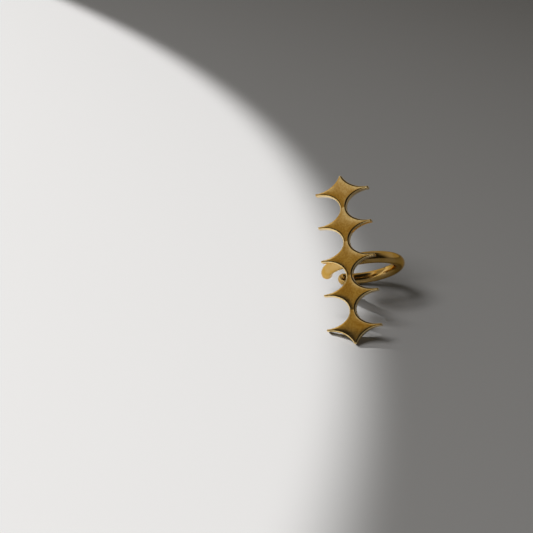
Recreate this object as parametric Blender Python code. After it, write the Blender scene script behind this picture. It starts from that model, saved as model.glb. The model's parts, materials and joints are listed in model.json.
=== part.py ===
"""Ear cuff: a flat column of four-pointed stars soldered to an open ring of round wire.

The column stands along +Z with its front face on the plane y = 0, looking to -Y, and its
middle at z = 0. The ring lies behind it, level, round the middle of the column. Last of all
the finished cuff is turned into the pose in which it rests on a table: leaning back on the
ring's rim and on two points of its lowest star.
"""
import math

import bmesh
import bpy
from mathutils import Matrix, Vector

# Star column; the sides of its two end points lean apart by END_POINT_LEAN degrees
STAR_COUNT = 5
STAR_PITCH = 0.0062
STAR_WIDTH = 0.00968
END_POINT_REACH = 0.00274
END_POINT_WIDTH = 0.00052
END_POINT_LEAN = 22.0
END_POINT_BULGE = 0.00014
WAIST_WIDTH = 0.00106
POINT_WIDTH = 0.00040
POINT_BULGE = 0.00008
PLATE_THICKNESS = 0.0014
FRONT_ROUNDING = 0.00030
BACK_ROUNDING = 0.00012

# Open ring of round wire; its width and depth are taken outside the wire
WIRE_DIAMETER = 0.00215
RING_WIDTH = 0.01555
RING_DEPTH = 0.0189
RING_SIDE_SHIFT = 0.0003
RING_ROLL = 4.6
GAP_MIDDLE = 259.0
GAP_WIDTH = 0.0055
WIRE_END_ROUNDING = 0.0008
SOLDER_DEPTH = 0.00025

# Puddle of solder between the middle star and the ring
SOLDER_WIDTH = 0.0042
SOLDER_HEIGHT = 0.0026
SOLDER_BULGE = 0.0007

# The side of the cuff that faces the table, roughly, in the column's own directions
TABLE_SIDE = (-0.40, 0.57, -0.72)

# Fineness of the round shapes
SCALLOP_STEPS = 12
ROUNDING_STEPS = 3
WIRE_SIDES = 16
RING_STEPS = 64
SOLDER_STEPS = 12

GOLD = (0.72, 0.47, 0.20, 1.0)


def scallop(middle, half_width, half_height, from_angle, to_angle):
    """Points on the hollow side between two star points, an arc of an ellipse."""
    points = []
    for step in range(SCALLOP_STEPS + 1):
        angle = math.radians(from_angle + (to_angle - from_angle) * step / SCALLOP_STEPS)
        points.append((middle[0] - half_width * math.cos(angle),
                       middle[1] + half_height * math.sin(angle)))
    return points


def column_outline(inset, point_inset):
    """The column's outline in x and z, drawn in by inset, and by point_inset at the points."""
    half_width = STAR_WIDTH / 2 - inset
    half_waist = WAIST_WIDTH / 2 - inset
    half_point = POINT_WIDTH / 2 - point_inset
    half_end = END_POINT_WIDTH / 2 - point_inset
    half_column = STAR_PITCH * (STAR_COUNT - 1) / 2
    reach = END_POINT_REACH - inset
    lean = math.radians(END_POINT_LEAN)
    end_width = (half_width - half_end) / math.cos(lean)
    end_height = (reach - half_point) / (1 - math.sin(lean))
    beyond = half_column + reach + end_height * math.sin(lean)
    side = scallop((half_width, -beyond), end_width, end_height, END_POINT_LEAN, 90)
    for star in range(STAR_COUNT):
        height = star * STAR_PITCH - half_column
        side.append((half_width + POINT_BULGE, height))
        if star < STAR_COUNT - 1:
            side += scallop((half_width, height + STAR_PITCH / 2), half_width - half_waist,
                            STAR_PITCH / 2 - half_point, -90, 90)
    side += scallop((half_width, beyond), end_width, end_height, -90, -END_POINT_LEAN)
    tip = [(0.0, half_column + reach + END_POINT_BULGE)]
    foot = [(0.0, -half_column - reach - END_POINT_BULGE)]
    return foot + side + tip + [(-x, z) for x, z in reversed(side)]


def column_layers():
    """Depth and insets of each outline from the front face to the back face."""
    layers = []
    point_rounding = POINT_WIDTH / 4
    for rounding, face, inward in ((FRONT_ROUNDING, 0.0, 1), (BACK_ROUNDING, PLATE_THICKNESS, -1)):
        edge = []
        for step in range(ROUNDING_STEPS + 1):
            turn = math.pi / 2 * step / ROUNDING_STEPS
            drawn_in = 1 - math.sin(turn)
            depth = face + inward * rounding * (1 - math.cos(turn))
            edge.append((depth, rounding * drawn_in, point_rounding * drawn_in))
        layers += edge if inward == 1 else reversed(edge)
    return layers


def make_column():
    """The star column, its outlines skinned from the front face to the back."""
    mesh = bmesh.new()
    rows = []
    for depth, inset, point_inset in column_layers():
        row = [mesh.verts.new((x, depth, z)) for x, z in column_outline(inset, point_inset)]
        rows.append(row)
    skin_rows(mesh, rows)
    return finish_mesh("star_column", mesh)


def skin_rows(mesh, rows):
    """Join each row of vertices to the next and close the first and the last."""
    for row, following in zip(rows, rows[1:]):
        for index in range(len(row)):
            after = (index + 1) % len(row)
            mesh.faces.new((row[index], row[after], following[after], following[index]))
    mesh.faces.new(rows[0])
    mesh.faces.new(reversed(rows[-1]))


def finish_mesh(name, mesh):
    """Turn a bmesh into an object of the scene, with its faces outwards."""
    bmesh.ops.recalc_face_normals(mesh, faces=mesh.faces)
    data = bpy.data.meshes.new(name)
    mesh.to_mesh(data)
    mesh.free()
    piece = bpy.data.objects.new(name, data)
    bpy.context.scene.collection.objects.link(piece)
    return piece


def ring_radii():
    """Half the width and half the depth of the ring's centre-line."""
    return (RING_WIDTH - WIRE_DIAMETER) / 2, (RING_DEPTH - WIRE_DIAMETER) / 2


def ring_middle():
    """The ring's middle: its front is let into the back of the column by the solder depth."""
    return Vector((RING_SIDE_SHIFT, PLATE_THICKNESS - SOLDER_DEPTH + RING_DEPTH / 2, 0.0))


def ring_point(angle):
    """A point of the centre-line; angle 0 is at the column and 90 at the right."""
    half_width, half_depth = ring_radii()
    turn = math.radians(angle)
    flat = Vector((half_width * math.sin(turn), -half_depth * math.cos(turn), 0.0))
    roll = Matrix.Rotation(math.radians(-RING_ROLL), 3, "Y")
    return ring_middle() + roll @ flat


def make_wire():
    """The open ring, swept along its centre-line, with its two ends rounded."""
    half_width, half_depth = ring_radii()
    half_gap = math.degrees(GAP_WIDTH / (half_width + half_depth))
    first = GAP_MIDDLE - 360 + half_gap
    last = GAP_MIDDLE - half_gap
    centres = [ring_point(first + (last - first) * step / RING_STEPS)
               for step in range(RING_STEPS + 1)]
    lengths = [0.0]
    for centre, following in zip(centres, centres[1:]):
        lengths.append(lengths[-1] + (following - centre).length)
    level = ring_point(90) - ring_point(270)
    across = level.cross(ring_point(180) - ring_point(0)).normalized()
    mesh = bmesh.new()
    rows = []
    for index, length, radius in wire_stations(lengths):
        start = min(index, RING_STEPS - 1)
        span = lengths[start + 1] - lengths[start]
        share = (length - lengths[start]) / span
        centre = centres[start].lerp(centres[start + 1], share)
        before = centres[max(start - 1, 0)] if share < 0.5 else centres[start]
        beyond = centres[start + 1] if share < 0.5 else centres[min(start + 2, RING_STEPS)]
        outward = (beyond - before).normalized().cross(across)
        row = []
        for side in range(WIRE_SIDES):
            turn = 2 * math.pi * side / WIRE_SIDES
            row.append(mesh.verts.new(centre + radius * (math.cos(turn) * outward
                                                         + math.sin(turn) * across)))
        rows.append(row)
    skin_rows(mesh, rows)
    return finish_mesh("wire", mesh)


def wire_stations(lengths):
    """Where the wire's sections lie along it, and their radii, small at the rounded ends."""
    radius = WIRE_DIAMETER / 2
    end_steps = (0.0, 0.15, 0.4, 0.7)
    blunt_end = 0.35
    total = lengths[-1]
    stations = []
    for share in end_steps:
        fullness = math.sqrt(1 - (1 - share) ** 2)
        small = radius * max(fullness, blunt_end)
        stations.append((WIRE_END_ROUNDING * share, small))
        stations.append((total - WIRE_END_ROUNDING * share, small))
    stations += [(length, radius) for length in lengths
                 if WIRE_END_ROUNDING <= length <= total - WIRE_END_ROUNDING]
    placed = []
    for length, size in sorted(stations):
        index = max(i for i, mark in enumerate(lengths) if mark <= length)
        placed.append((index, length, size))
    return placed


def make_solder():
    """A flat puddle of solder that fills the corner between the ring and the column."""
    mesh = bmesh.new()
    bmesh.ops.create_uvsphere(mesh, u_segments=2 * SOLDER_STEPS, v_segments=SOLDER_STEPS, radius=1)
    size = Vector((SOLDER_WIDTH / 2, SOLDER_BULGE, SOLDER_HEIGHT / 2))
    bmesh.ops.scale(mesh, vec=size, verts=mesh.verts)
    place = Vector((RING_SIDE_SHIFT, PLATE_THICKNESS, 0.0))
    bmesh.ops.translate(mesh, vec=place, verts=mesh.verts)
    return finish_mesh("solder", mesh)


def unite(main, others):
    """The mesh of several closed pieces fused into one."""
    for other in others:
        other.hide_render = True
        other.display_type = "WIRE"
        union = main.modifiers.new(other.name, "BOOLEAN")
        union.operation = "UNION"
        union.solver = "EXACT"
        union.object = other
    depsgraph = bpy.context.evaluated_depsgraph_get()
    fused = bpy.data.meshes.new_from_object(main.evaluated_get(depsgraph))
    for piece in [main] + others:
        bpy.data.objects.remove(piece)
    return fused


def centre_of_mass(mesh):
    """Centre of mass of a closed mesh, summed over the cones from the origin to its faces."""
    volume = 0.0
    moment = Vector()
    mesh.calc_loop_triangles()
    for triangle in mesh.loop_triangles:
        a, b, c = (mesh.vertices[index].co for index in triangle.vertices)
        cone = a.dot(b.cross(c)) / 6
        volume += cone
        moment += cone * (a + b + c) / 4
    return moment / volume


def steady_face(mesh):
    """The way down of the steady pose nearest to TABLE_SIDE, found on the convex hull."""
    centre = centre_of_mass(mesh)
    hull = bmesh.new()
    hull.from_mesh(mesh)
    bmesh.ops.convex_hull(hull, input=hull.verts)
    hull.normal_update()
    best = None
    wanted = Vector(TABLE_SIDE).normalized()
    for face in hull.faces:
        corners = [vertex.co.copy() for vertex in face.verts]
        outward = face.normal.copy()
        if outward.dot(corners[0] - centre) < 0:
            outward.negate()
        inside = all(
            (corners[i] - corners[i - 1]).cross(centre - corners[i - 1]).dot(face.normal) > 0
            for i in range(len(corners)))
        if inside and (best is None or outward.dot(wanted) > best.dot(wanted)):
            best = outward
    hull.free()
    return best


def rest_turn(mesh):
    """The turn that lays the steady face on the table and leaves the front towards -Y."""
    down = steady_face(mesh)
    lay = down.rotation_difference(Vector((0, 0, -1))).to_matrix()
    front = lay @ Vector((0, -1, 0))
    heading = Matrix.Rotation(-math.pi / 2 - math.atan2(front.y, front.x), 3, "Z")
    return heading @ lay


def gold():
    """Warm satin gold."""
    material = bpy.data.materials.new("gold")
    material.use_nodes = True
    shader = material.node_tree.nodes["Principled BSDF"]
    shader.inputs["Base Color"].default_value = GOLD
    shader.inputs["Metallic"].default_value = 1.0
    shader.inputs["Roughness"].default_value = 0.28
    return material


def make_cuff():
    """The whole cuff, one body of metal, resting on z = 0 round the origin."""
    mesh = unite(make_column(), [make_wire(), make_solder()])
    mesh.transform(rest_turn(mesh).to_4x4())
    low = Vector([min(vertex.co[axis] for vertex in mesh.vertices) for axis in range(3)])
    high = Vector([max(vertex.co[axis] for vertex in mesh.vertices) for axis in range(3)])
    foot = Vector(((low.x + high.x) / 2, (low.y + high.y) / 2, low.z))
    mesh.transform(Matrix.Translation(-foot))
    mesh.name = "ear_cuff"
    mesh.materials.clear()
    mesh.materials.append(gold())
    mesh.shade_smooth()
    mesh.set_sharp_from_angle(angle=math.radians(35))
    cuff = bpy.data.objects.new("ear_cuff", mesh)
    bpy.context.scene.collection.objects.link(cuff)


for leftover in list(bpy.data.objects):
    bpy.data.objects.remove(leftover)
make_cuff()
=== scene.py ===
"""Ear cuff: five joined gold stars on an open wire ring, resting on a pale surface."""

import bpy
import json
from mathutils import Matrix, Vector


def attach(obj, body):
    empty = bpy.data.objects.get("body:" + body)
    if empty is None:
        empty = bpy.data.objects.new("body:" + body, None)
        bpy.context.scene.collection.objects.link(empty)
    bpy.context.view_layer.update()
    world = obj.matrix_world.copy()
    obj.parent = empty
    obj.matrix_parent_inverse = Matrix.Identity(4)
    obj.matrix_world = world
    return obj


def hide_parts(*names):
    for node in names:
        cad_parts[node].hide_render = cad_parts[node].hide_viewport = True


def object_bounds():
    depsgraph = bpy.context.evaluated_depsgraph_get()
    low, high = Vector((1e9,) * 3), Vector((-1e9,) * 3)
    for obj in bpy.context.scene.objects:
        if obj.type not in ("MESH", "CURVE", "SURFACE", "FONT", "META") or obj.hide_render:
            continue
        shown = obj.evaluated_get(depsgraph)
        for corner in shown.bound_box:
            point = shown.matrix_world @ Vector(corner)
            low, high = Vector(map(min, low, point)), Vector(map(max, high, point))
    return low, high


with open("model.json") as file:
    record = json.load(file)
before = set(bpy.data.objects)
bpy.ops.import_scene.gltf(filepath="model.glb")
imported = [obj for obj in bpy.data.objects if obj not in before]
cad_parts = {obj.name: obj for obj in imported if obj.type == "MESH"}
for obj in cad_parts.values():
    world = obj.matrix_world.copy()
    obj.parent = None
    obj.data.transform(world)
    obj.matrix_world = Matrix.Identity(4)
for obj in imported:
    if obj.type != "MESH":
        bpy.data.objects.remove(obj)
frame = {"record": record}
cad_box = [list(corner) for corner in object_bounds()]

import json
import math

import bmesh
import bpy
from mathutils import Matrix, Vector

# How the cuff lies. The column of stars has its own directions: x to its right, y into the
# plate from its front, z up along the stars, from the middle star's centre. Its front and
# back faces give them, and every piece is shaped in them and then laid down.
faces = {mount["name"]: mount for mount in frame["record"]["mounts"]}
middle = Vector(faces["column_front"]["pos_m"])
inward = -Vector(faces["column_front"]["axis"]).normalized()
climb = Vector(faces["column_back"]["pos_m"]) - middle
upward = (climb - climb.dot(inward) * inward).normalized()
lay = Matrix((inward.cross(upward), inward, upward)).transposed().to_4x4()
lay.translation = middle

# Camera, at the photograph's angle to the stars: 59 mm lens, from the right and from below.
# Its place follows from where the middle star's centre lies in its view.
VIEW_TURN = math.radians(18.77)
VIEW_RISE = math.radians(-12.53)
VIEW_ROLL = math.radians(-4.085)
STARS_RIGHT = 0.014267
STARS_UP = 0.001533
STARS_AWAY = 0.1554
LENS_MM = 59.44
SENSOR_MM = 36.0
NEAREST_SEEN = 0.005

back = Vector((math.sin(VIEW_TURN) * math.cos(VIEW_RISE),
               -math.cos(VIEW_TURN) * math.cos(VIEW_RISE), math.sin(VIEW_RISE)))
right = (-back).cross(Vector((0, 0, 1))).normalized()
turned = Matrix((right, right.cross(-back), back)).transposed()
turned = turned @ Matrix.Rotation(VIEW_ROLL, 3, "Z")
eye = turned.to_4x4()
eye.translation = -(turned @ Vector((STARS_RIGHT, STARS_UP, -STARS_AWAY)))
camera = bpy.data.objects.new("camera", bpy.data.cameras.new("camera"))
camera.data.lens = LENS_MM
camera.data.sensor_width = SENSOR_MM
camera.data.clip_start = NEAREST_SEEN
camera.matrix_world = lay @ eye
bpy.context.scene.collection.objects.link(camera)
bpy.context.scene.camera = camera
bpy.context.scene.view_settings.view_transform = "Standard"

# Star column. One plate, cast as five stars joined point to point: hollow elliptic sides,
# narrow blunt points, fronts that are a little domed and roll off softly to their walls.
# Warm yellow gold plating over brass, rubbed to a satin sheen with fine random scratches.
STAR_COUNT = 5
STAR_PITCH = 0.0062
STAR_WIDTH = 0.00968
END_POINT_REACH = 0.00274
END_POINT_WIDTH = 0.00052
END_POINT_LEAN = math.radians(22.0)
END_POINT_BULGE = 0.00014
WAIST_WIDTH = 0.00106
POINT_WIDTH = 0.00040
POINT_BULGE = 0.00008
PLATE_THICKNESS = 0.0014
ROLL_WIDTH = 0.00034
ROLL_DEPTH = 0.00020
BACK_ROUNDING = 0.00012
CROWN_SLOPE = 0.05
CROWN_WIDTH = 0.00115
DOME_RADIUS = 0.060
DOME_SIDE_RADIUS = 0.120

SIDE_STEPS = 40
NOSE_STEPS = 5
FACE_STEPS = 8
ROLL_STEPS = 12
WALL_STEPS = 4
HEEL_STEPS = 3
BACK_STEPS = 4
MERGE_GAP = 0.0000005

GOLD = (1.0, 0.77, 0.38, 1.0)
GOLD_DEEP = (0.76, 0.50, 0.17, 1.0)
# Scales of the finish's unevenness, in patches to a metre
BLOTCHES = 420.0
GRAINS = 3000.0
RUBS = 900.0
PORES = 6000.0
FINISH_DEPTH = 0.00001


class Shade:
    """A socket of the tree being wired; arithmetic on it adds Math nodes."""

    tree = None

    def __init__(self, socket):
        self.socket = socket

    @classmethod
    def node(cls, kind, settings=None, sockets=None, output=0):
        """Add a node, set it up and plug values or other sockets into it."""
        made = cls.tree.nodes.new(kind)
        for name, value in (settings or {}).items():
            setattr(made, name, value)
        for name, value in (sockets or {}).items():
            if isinstance(value, Shade):
                cls.tree.links.new(value.socket, made.inputs[name])
            else:
                made.inputs[name].default_value = value
        return cls(made.outputs[output])

    def math(self, operation, other):
        return Shade.node("ShaderNodeMath", {"operation": operation}, {0: self, 1: other})

    def __add__(self, other):
        return self.math("ADD", other)

    def __sub__(self, other):
        return self.math("SUBTRACT", other)

    def __mul__(self, other):
        return self.math("MULTIPLY", other)

    def __rsub__(self, other):
        return self * -1.0 + other

    __radd__ = __add__
    __rmul__ = __mul__

    def between(self, low, high):
        """0 below low, 1 above high and smooth between them."""
        sockets = {"Value": self, "From Min": low, "From Max": high}
        settings = {"interpolation_type": "SMOOTHSTEP"}
        return Shade.node("ShaderNodeMapRange", settings, sockets)

    def blend(self, first, second):
        """The first colour where this is 0, the second where it is 1."""
        # A Mix node repeats its socket names; 6, 7 and output 2 are the ones for colours.
        settings = {"data_type": "RGBA"}
        return Shade.node("ShaderNodeMix", settings, {0: self, 6: first, 7: second}, output=2)

    def noise(self, scale, detail=2.0):
        sockets = {"Vector": self, "Scale": scale, "Detail": detail}
        return Shade.node("ShaderNodeTexNoise", None, sockets)


def begin_gold(name):
    material = bpy.data.materials.new(name)
    material.use_nodes = True
    Shade.tree = material.node_tree
    shader = material.node_tree.nodes["Principled BSDF"]
    shader.inputs["Metallic"].default_value = 1.0
    return material, shader


def plug(value, socket):
    Shade.tree.links.new(value.socket, socket)


def scratches(place, turn, spacing, length):
    """Fine lines across the surface in one direction, 1 on a line."""
    lie = Shade.node("ShaderNodeMapping", {"vector_type": "TEXTURE"},
                     {"Vector": place, "Rotation": turn, "Scale": (length, spacing, spacing)})
    return lie.noise(1.0, 3.0).between(0.60, 0.72)


def satin_gold():
    material, shader = begin_gold("satin_gold")
    place = Shade.node("ShaderNodeTexCoord", output="Object")
    blotches = place.noise(BLOTCHES, 5.0).between(0.35, 0.70)
    grain = place.noise(GRAINS, 1.0).between(0.32, 0.68)
    deep = blotches * 0.5 + grain * 0.5
    plug(deep.blend(GOLD, GOLD_DEEP), shader.inputs["Base Color"])
    rubbed = place.noise(RUBS, 4.0)
    lines = (scratches(place, turn=(0.4, 0.2, 0.9), spacing=0.00006, length=0.0016)
             + scratches(place, turn=(1.1, 0.7, -0.5), spacing=0.00008, length=0.0022))
    plug(0.09 + 0.06 * rubbed + 0.05 * lines, shader.inputs["Roughness"])
    waves = place.noise(BLOTCHES, 1.0)
    height = place.noise(PORES) * 0.3 - lines * 0.2 + waves * 1.6
    bump = Shade.node("ShaderNodeBump", None,
                      {"Strength": 0.3, "Distance": FINISH_DEPTH, "Height": height})
    plug(bump, shader.inputs["Normal"])
    return material


def star_quarter(last):
    """From a star's waist or end point out to its side point: edge and spine, in x and z."""
    half_width = STAR_WIDTH / 2
    half_point = POINT_WIDTH / 2
    lean = END_POINT_LEAN if last else 0.0
    near = END_POINT_WIDTH / 2 if last else WAIST_WIDTH / 2
    reach = END_POINT_REACH if last else STAR_PITCH / 2
    wide = (half_width - near) / math.cos(lean)
    high = (reach - half_point) / (1 - math.sin(lean))
    spine_top = reach - near if last else reach
    spine_side = half_width - half_point
    bend_share = 0.4
    upright_crowding = 1.28
    level_crowding = 0.83
    points = []
    if last:
        for step in range(NOSE_STEPS):
            nose = math.pi / 2 * step / NOSE_STEPS
            rise = reach + END_POINT_BULGE * math.cos(nose)
            points.append(((near * math.sin(nose), rise), (0.0, spine_top)))
    for step in range(SIDE_STEPS + 1):
        share = step / SIDE_STEPS
        turn = lean + (math.pi / 2 - lean) * share
        edge = (half_width - wide * math.cos(turn),
                reach + high * (math.sin(lean) - math.sin(turn)))
        if share < bend_share:
            done = share / bend_share
            spine = (0.0, spine_top * (1 - done ** upright_crowding))
        else:
            done = (share - bend_share) / (1 - bend_share)
            spine = (spine_side * done ** level_crowding, 0.0)
        points.append((edge, spine))
    for step in range(1, NOSE_STEPS + 1):
        nose = math.pi / 2 * step / NOSE_STEPS
        edge = (half_width + POINT_BULGE * math.sin(nose), half_point * math.cos(nose))
        points.append((edge, (spine_side, 0.0)))
    return points


def column_rim():
    """Right round the column's edge: each point with the point of the spine behind it."""
    side = []
    for star in range(STAR_COUNT):
        centre = (star - (STAR_COUNT - 1) / 2) * STAR_PITCH
        lower = star_quarter(star == 0)
        upper = star_quarter(star == STAR_COUNT - 1)[::-1]
        for points, way in ((lower, -1), (upper[1:], 1)):
            for edge, spine in points:
                side.append((Vector((edge[0], 0, centre + way * edge[1])),
                             Vector((spine[0], 0, centre + way * spine[1]))))
        if star < STAR_COUNT - 1:
            side.pop()
    flip = Matrix.Scale(-1, 3, (1, 0, 0))
    return side + [(flip @ edge, flip @ spine) for edge, spine in side[-2:0:-1]]


def smooth_least(span, width):
    """The lesser of two lengths, with a smooth passage where they are alike."""
    return span * width / (span ** 4 + width ** 4) ** 0.25


def front_and_back(span):
    """From the front's spine over the edge to the back's: distance from the edge, depth."""
    roll = smooth_least(span, ROLL_WIDTH)
    crown = smooth_least(span, CROWN_WIDTH)
    rim_crowding = 1.5
    places = []
    for step in range(FACE_STEPS):
        share = (1 - step / FACE_STEPS) ** rim_crowding
        places.append((roll + (span - roll) * share, 0.0))
    for step in range(ROLL_STEPS + 1):
        turn = math.pi / 2 * step / ROLL_STEPS
        places.append((roll * (1 - math.sin(turn)), ROLL_DEPTH * (1 - math.cos(turn))))
    places = [(away, depth + CROWN_SLOPE * crown / 2 * max(1 - away / crown, 0) ** 2)
              for away, depth in places]
    top = places[-1][1]
    heel = PLATE_THICKNESS - BACK_ROUNDING
    for step in range(1, WALL_STEPS + 1):
        places.append((0.0, top + (heel - top) * step / WALL_STEPS))
    for step in range(1, HEEL_STEPS + 1):
        turn = math.pi / 2 * step / HEEL_STEPS
        places.append((BACK_ROUNDING * (1 - math.cos(turn)),
                       heel + BACK_ROUNDING * math.sin(turn)))
    for step in range(1, BACK_STEPS + 1):
        away = BACK_ROUNDING + (span - BACK_ROUNDING) * step / BACK_STEPS
        places.append((away, PLATE_THICKNESS))
    return places


def star_column():
    """A grid bent over the plate: its long side runs round the rim, its short side across."""
    rim = column_rim()
    sections = [front_and_back((spine - edge).length) for edge, spine in rim]
    around = len(rim)
    across = len(sections[0]) - 1
    end_star = (STAR_COUNT - 1) // 2
    mesh = bmesh.new()
    mesh.loops.layers.uv.new()
    bmesh.ops.create_grid(mesh, x_segments=around, y_segments=across, size=1, calc_uvs=True)
    for vertex in mesh.verts:
        step = round((vertex.co.x + 1) / 2 * around) % around
        edge, spine = rim[step]
        away, depth = sections[step][round((vertex.co.y + 1) / 2 * across)]
        place = edge.lerp(spine, away / (spine - edge).length)
        star = min(max(round(place.z / STAR_PITCH), -end_star), end_star)
        high = place.z - star * STAR_PITCH
        dome = high ** 2 / (2 * DOME_RADIUS) + place.x ** 2 / (2 * DOME_SIDE_RADIUS)
        front = 1 - depth / PLATE_THICKNESS
        place.y = depth + dome * front
        vertex.co = place
    bmesh.ops.remove_doubles(mesh, verts=mesh.verts, dist=MERGE_GAP)
    finish_piece("star_column", mesh, satin_gold())


def finish_piece(name, mesh, material):
    """Turn a piece's faces outwards, lay it down with the cuff and give it its finish."""
    bmesh.ops.recalc_face_normals(mesh, faces=mesh.faces)
    data = bpy.data.meshes.new(name)
    mesh.to_mesh(data)
    mesh.free()
    data.transform(lay)
    data.shade_smooth()
    data.materials.append(material)
    piece = bpy.data.objects.new(name, data)
    bpy.context.scene.collection.objects.link(piece)
    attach(piece, "root")
    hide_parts("ear_cuff")


star_column()

# Ring. Round drawn wire bent to an open oval, polished bright, its ends filed round. It is
# let a little into the plate behind the middle star, and its left side hangs a little lower.
WIRE_DIAMETER = 0.00215
RING_WIDTH = 0.01555
RING_DEPTH = 0.0189
RING_SIDE_SHIFT = 0.0003
RING_ROLL = math.radians(4.6)
GAP_MIDDLE = 259.0
GAP_WIDTH = 0.0055
WIRE_END_ROUNDING = 0.0008
SOLDER_DEPTH = 0.00025

RING_STEPS = 240
WIRE_END_STEPS = 10
WIRE_SIDES = 40

WIRE_GOLD = (0.70, 0.46, 0.17, 1.0)
WIRE_GOLD_DEEP = (0.58, 0.35, 0.09, 1.0)
WIRE_SHEEN = (1.0, 0.80, 0.45, 1.0)
WIRE_BLOTCHES = 300.0
WIRE_WAVES = 350.0
WIRE_RUBS = 1100.0
WIRE_PORES = 8000.0
# Patches along the whole wire and round it, long and narrow as drawing leaves them
DRAWN_LINES = (9.0, 60.0, 1.0)


def polished_gold():
    material, shader = begin_gold("polished_gold")
    shader.inputs["Specular Tint"].default_value = WIRE_SHEEN
    place = Shade.node("ShaderNodeTexCoord", output="Object")
    deep = place.noise(WIRE_BLOTCHES, 3.0).between(0.30, 0.65)
    plug(deep.blend(WIRE_GOLD, WIRE_GOLD_DEEP), shader.inputs["Base Color"])
    along = Shade.node("ShaderNodeTexCoord", output="UV")
    drawn = Shade.node("ShaderNodeMapping", None, {"Vector": along, "Scale": DRAWN_LINES})
    lines = drawn.noise(1.0, 4.0).between(0.45, 0.80)
    rubbed = place.noise(WIRE_RUBS, 3.0)
    plug(0.08 + 0.05 * lines + 0.05 * rubbed, shader.inputs["Roughness"])
    waves = place.noise(WIRE_WAVES, 1.0)
    height = waves * 2.5 - lines * 0.2 + place.noise(WIRE_PORES) * 0.08
    bump = Shade.node("ShaderNodeBump", None,
                      {"Strength": 0.35, "Distance": FINISH_DEPTH, "Height": height})
    plug(bump, shader.inputs["Normal"])
    return material


def wire_ring():
    """A grid rolled into the wire: its long side runs along it, its short side round it."""
    radius = WIRE_DIAMETER / 2
    half_width = RING_WIDTH / 2 - radius
    half_depth = RING_DEPTH / 2 - radius
    half_gap = math.degrees(GAP_WIDTH / (half_width + half_depth))
    first = GAP_MIDDLE - 360 + half_gap
    last = GAP_MIDDLE - half_gap
    roll = Matrix.Rotation(-RING_ROLL, 3, "Y")
    centre = Vector((RING_SIDE_SHIFT, PLATE_THICKNESS - SOLDER_DEPTH + RING_DEPTH / 2, 0))
    length = math.radians(last - first) * (half_width + half_depth) / 2
    end = WIRE_END_ROUNDING / length
    full_steps = RING_STEPS - 2 * WIRE_END_STEPS
    mesh = bmesh.new()
    mesh.loops.layers.uv.new()
    bmesh.ops.create_grid(mesh, x_segments=RING_STEPS, y_segments=WIRE_SIDES, size=1,
                          calc_uvs=True)
    for vertex in mesh.verts:
        step = (vertex.co.x + 1) / 2 * RING_STEPS
        nearest = min(step, RING_STEPS - step)
        if nearest <= WIRE_END_STEPS:
            turn = math.pi / 2 * nearest / WIRE_END_STEPS
            share = end * (1 - math.cos(turn))
            full = math.sin(turn)
        else:
            share = end + (nearest - WIRE_END_STEPS) / full_steps * (1 - 2 * end)
            full = 1.0
        share = share if step <= RING_STEPS / 2 else 1 - share
        angle = math.radians(first + (last - first) * share)
        out = Vector((half_depth * math.sin(angle), -half_width * math.cos(angle), 0))
        spine = Vector((half_width * math.sin(angle), -half_depth * math.cos(angle), 0))
        around = math.pi * (vertex.co.y + 1)
        side = math.cos(around) * out.normalized() + math.sin(around) * Vector((0, 0, 1))
        vertex.co = centre + roll @ (spine + radius * full * side)
    bmesh.ops.remove_doubles(mesh, verts=mesh.verts, dist=MERGE_GAP)
    finish_piece("wire_ring", mesh, polished_gold())


wire_ring()

# Solder. A small puddle of gold solder flowed into the corner between the ring and the back
# of the middle star, slightly lumpy and duller than the rest.
SOLDER_WIDTH = 0.0042
SOLDER_HEIGHT = 0.0026
SOLDER_BULGE = 0.0007
SOLDER_FINENESS = 5

SOLDER_GOLD = (0.74, 0.50, 0.20, 1.0)
SOLDER_BLOTCHES = 900.0
SOLDER_LUMPS = 2600.0
SOLDER_LUMP_DEPTH = 0.00002


def solder_gold():
    material, shader = begin_gold("solder_gold")
    place = Shade.node("ShaderNodeTexCoord", output="Object")
    clouds = place.noise(SOLDER_BLOTCHES, 4.0)
    plug(clouds.blend(GOLD_DEEP, SOLDER_GOLD), shader.inputs["Base Color"])
    plug(0.22 + 0.16 * clouds, shader.inputs["Roughness"])
    lumps = place.noise(SOLDER_LUMPS, 3.0)
    bump = Shade.node("ShaderNodeBump", None,
                      {"Strength": 0.5, "Distance": SOLDER_LUMP_DEPTH, "Height": lumps})
    plug(bump, shader.inputs["Normal"])
    return material


def solder_puddle():
    mesh = bmesh.new()
    bmesh.ops.create_icosphere(mesh, subdivisions=SOLDER_FINENESS, radius=1)
    size = Vector((SOLDER_WIDTH / 2, SOLDER_BULGE, SOLDER_HEIGHT / 2))
    bmesh.ops.scale(mesh, vec=size, verts=mesh.verts)
    corner = Vector((RING_SIDE_SHIFT, PLATE_THICKNESS, 0))
    bmesh.ops.translate(mesh, vec=corner, verts=mesh.verts)
    finish_piece("solder", mesh, solder_gold())


solder_puddle()

# Setting. A wide matt table that the lamps make pale, a hair below the solid's lowest point,
# because the finished pieces reach 0.04 mm lower. The key lamp lights it on the left, as far
# as the cuff, and a weak fill lamp from the front lights it on both sides.
TABLE_COLOUR = (0.220, 0.222, 0.227, 1.0)
TABLE_ROUGHNESS = 0.9
TABLE_GLOSS = 0.1
TABLE_HALF_SIDE = 1.5
TABLE_DROP = 0.00005

LAMP_COLOUR = (1.0, 0.98, 0.95)
KEY_POWER = 1130.0
KEY_SPREAD = math.radians(20.0)
KEY_EDGE_BLEND = 0.022
KEY_RADIUS = 0.004
KEY_TARGET = (-0.5258, -0.2950, 0.0)
KEY_TOWARDS = (-0.877, -0.492, 1.0)
KEY_AWAY = 2.0
FILL_POWER = 5.8
FILL_SIZE = 0.24
FILL_TARGET = (0.0, 0.0, 0.0)
FILL_TOWARDS = (-0.4, -0.9, 1.0)
FILL_AWAY = 0.8


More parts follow.
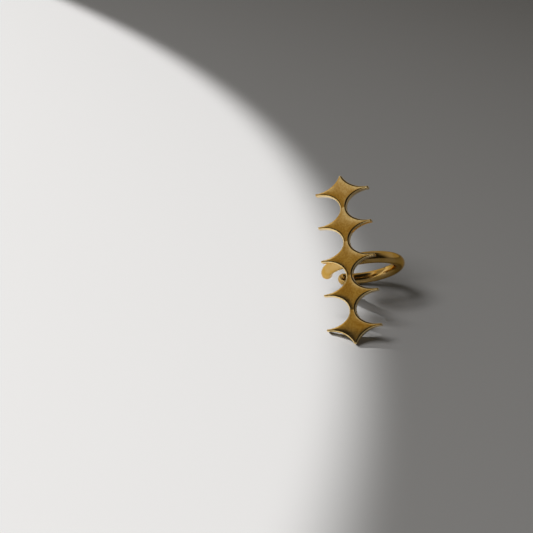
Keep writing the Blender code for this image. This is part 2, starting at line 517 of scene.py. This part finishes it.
def pale_floor():
    material = bpy.data.materials.new("pale_table")
    material.use_nodes = True
    shader = material.node_tree.nodes["Principled BSDF"]
    shader.inputs["Base Color"].default_value = TABLE_COLOUR
    shader.inputs["Roughness"].default_value = TABLE_ROUGHNESS
    shader.inputs["Specular IOR Level"].default_value = TABLE_GLOSS
    mesh = bmesh.new()
    bmesh.ops.create_grid(mesh, x_segments=1, y_segments=1, size=TABLE_HALF_SIDE)
    data = bpy.data.meshes.new("table")
    mesh.to_mesh(data)
    mesh.free()
    data.transform(Matrix.Translation((0, 0, cad_box[0][2] - TABLE_DROP)))
    data.materials.append(material)
    floor = bpy.data.objects.new("table", data)
    bpy.context.scene.collection.objects.link(floor)


def hang_lamp(lamp, power, target, towards, away):
    """Hang a lamp so that it lights the target; polished metal doesn't mirror the lamp."""
    lamp.energy = power
    lamp.color = LAMP_COLOUR
    light = bpy.data.objects.new(lamp.name, lamp)
    light.visible_glossy = False
    towards = Vector(towards).normalized()
    aim = towards.to_track_quat("Z", "Y")
    light.matrix_world = Matrix.LocRotScale(Vector(target) + away * towards, aim, None)
    bpy.context.scene.collection.objects.link(light)


def key_light():
    lamp = bpy.data.lights.new("key", "SPOT")
    lamp.spot_size = KEY_SPREAD
    lamp.spot_blend = KEY_EDGE_BLEND
    lamp.shadow_soft_size = KEY_RADIUS
    hang_lamp(lamp, KEY_POWER, KEY_TARGET, KEY_TOWARDS, KEY_AWAY)


def fill_light():
    lamp = bpy.data.lights.new("fill", "AREA")
    lamp.size = FILL_SIZE
    hang_lamp(lamp, FILL_POWER, FILL_TARGET, FILL_TOWARDS, FILL_AWAY)


pale_floor()
key_light()
fill_light()

# Air. What the metal mirrors of the studio: a broad high glow in front and on the left, amber
# and then white as it climbs, a window on the left, a pale wall behind, and dark elsewhere.
# Each bound says how far a unit vector points up, west or north, from -1 to 1.
GLOW_AMBER = (1.0, 0.687, 0.195, 1.0)
GLOW_WHITE = (1.0, 0.93, 0.80, 1.0)
DIM = 0.016
GLOW_STRENGTH = 0.231
GLOW_CLIMB = 0.24
WINDOW_STRENGTH = 0.32
WALL_STRENGTH = 0.32


def studio_air():
    world = bpy.data.worlds.new("studio")
    world.use_nodes = True
    bpy.context.scene.world = world
    Shade.tree = world.node_tree
    heading = Shade.node("ShaderNodeTexCoord", output="Generated")
    split = "ShaderNodeSeparateXYZ"
    east, north, rise = [Shade.node(split, None, {0: heading}, output=axis) for axis in "XYZ"]
    west = east * -1.0
    below_top = 1.0 - rise.between(0.70, 0.90)
    high = rise.between(0.585, 0.66)
    before = 1.0 - north.between(-0.2, 0.4)
    front = rise.between(0.482, 0.515) * west.between(-0.15, 0.22) * before
    window = rise.between(-0.05, 0.10) * west.between(0.45, 0.75) * below_top
    wall = rise.between(-0.10, 0.10) * north.between(0.10, 0.65) * below_top
    glow = below_top * front * (GLOW_STRENGTH + GLOW_CLIMB * high)
    strength = DIM + glow + WINDOW_STRENGTH * window + WALL_STRENGTH * wall
    amber = front * (1.0 - high)
    background = world.node_tree.nodes["Background"]
    plug(amber.blend(GLOW_WHITE, GLOW_AMBER), background.inputs["Color"])
    plug(strength, background.inputs["Strength"])


studio_air()
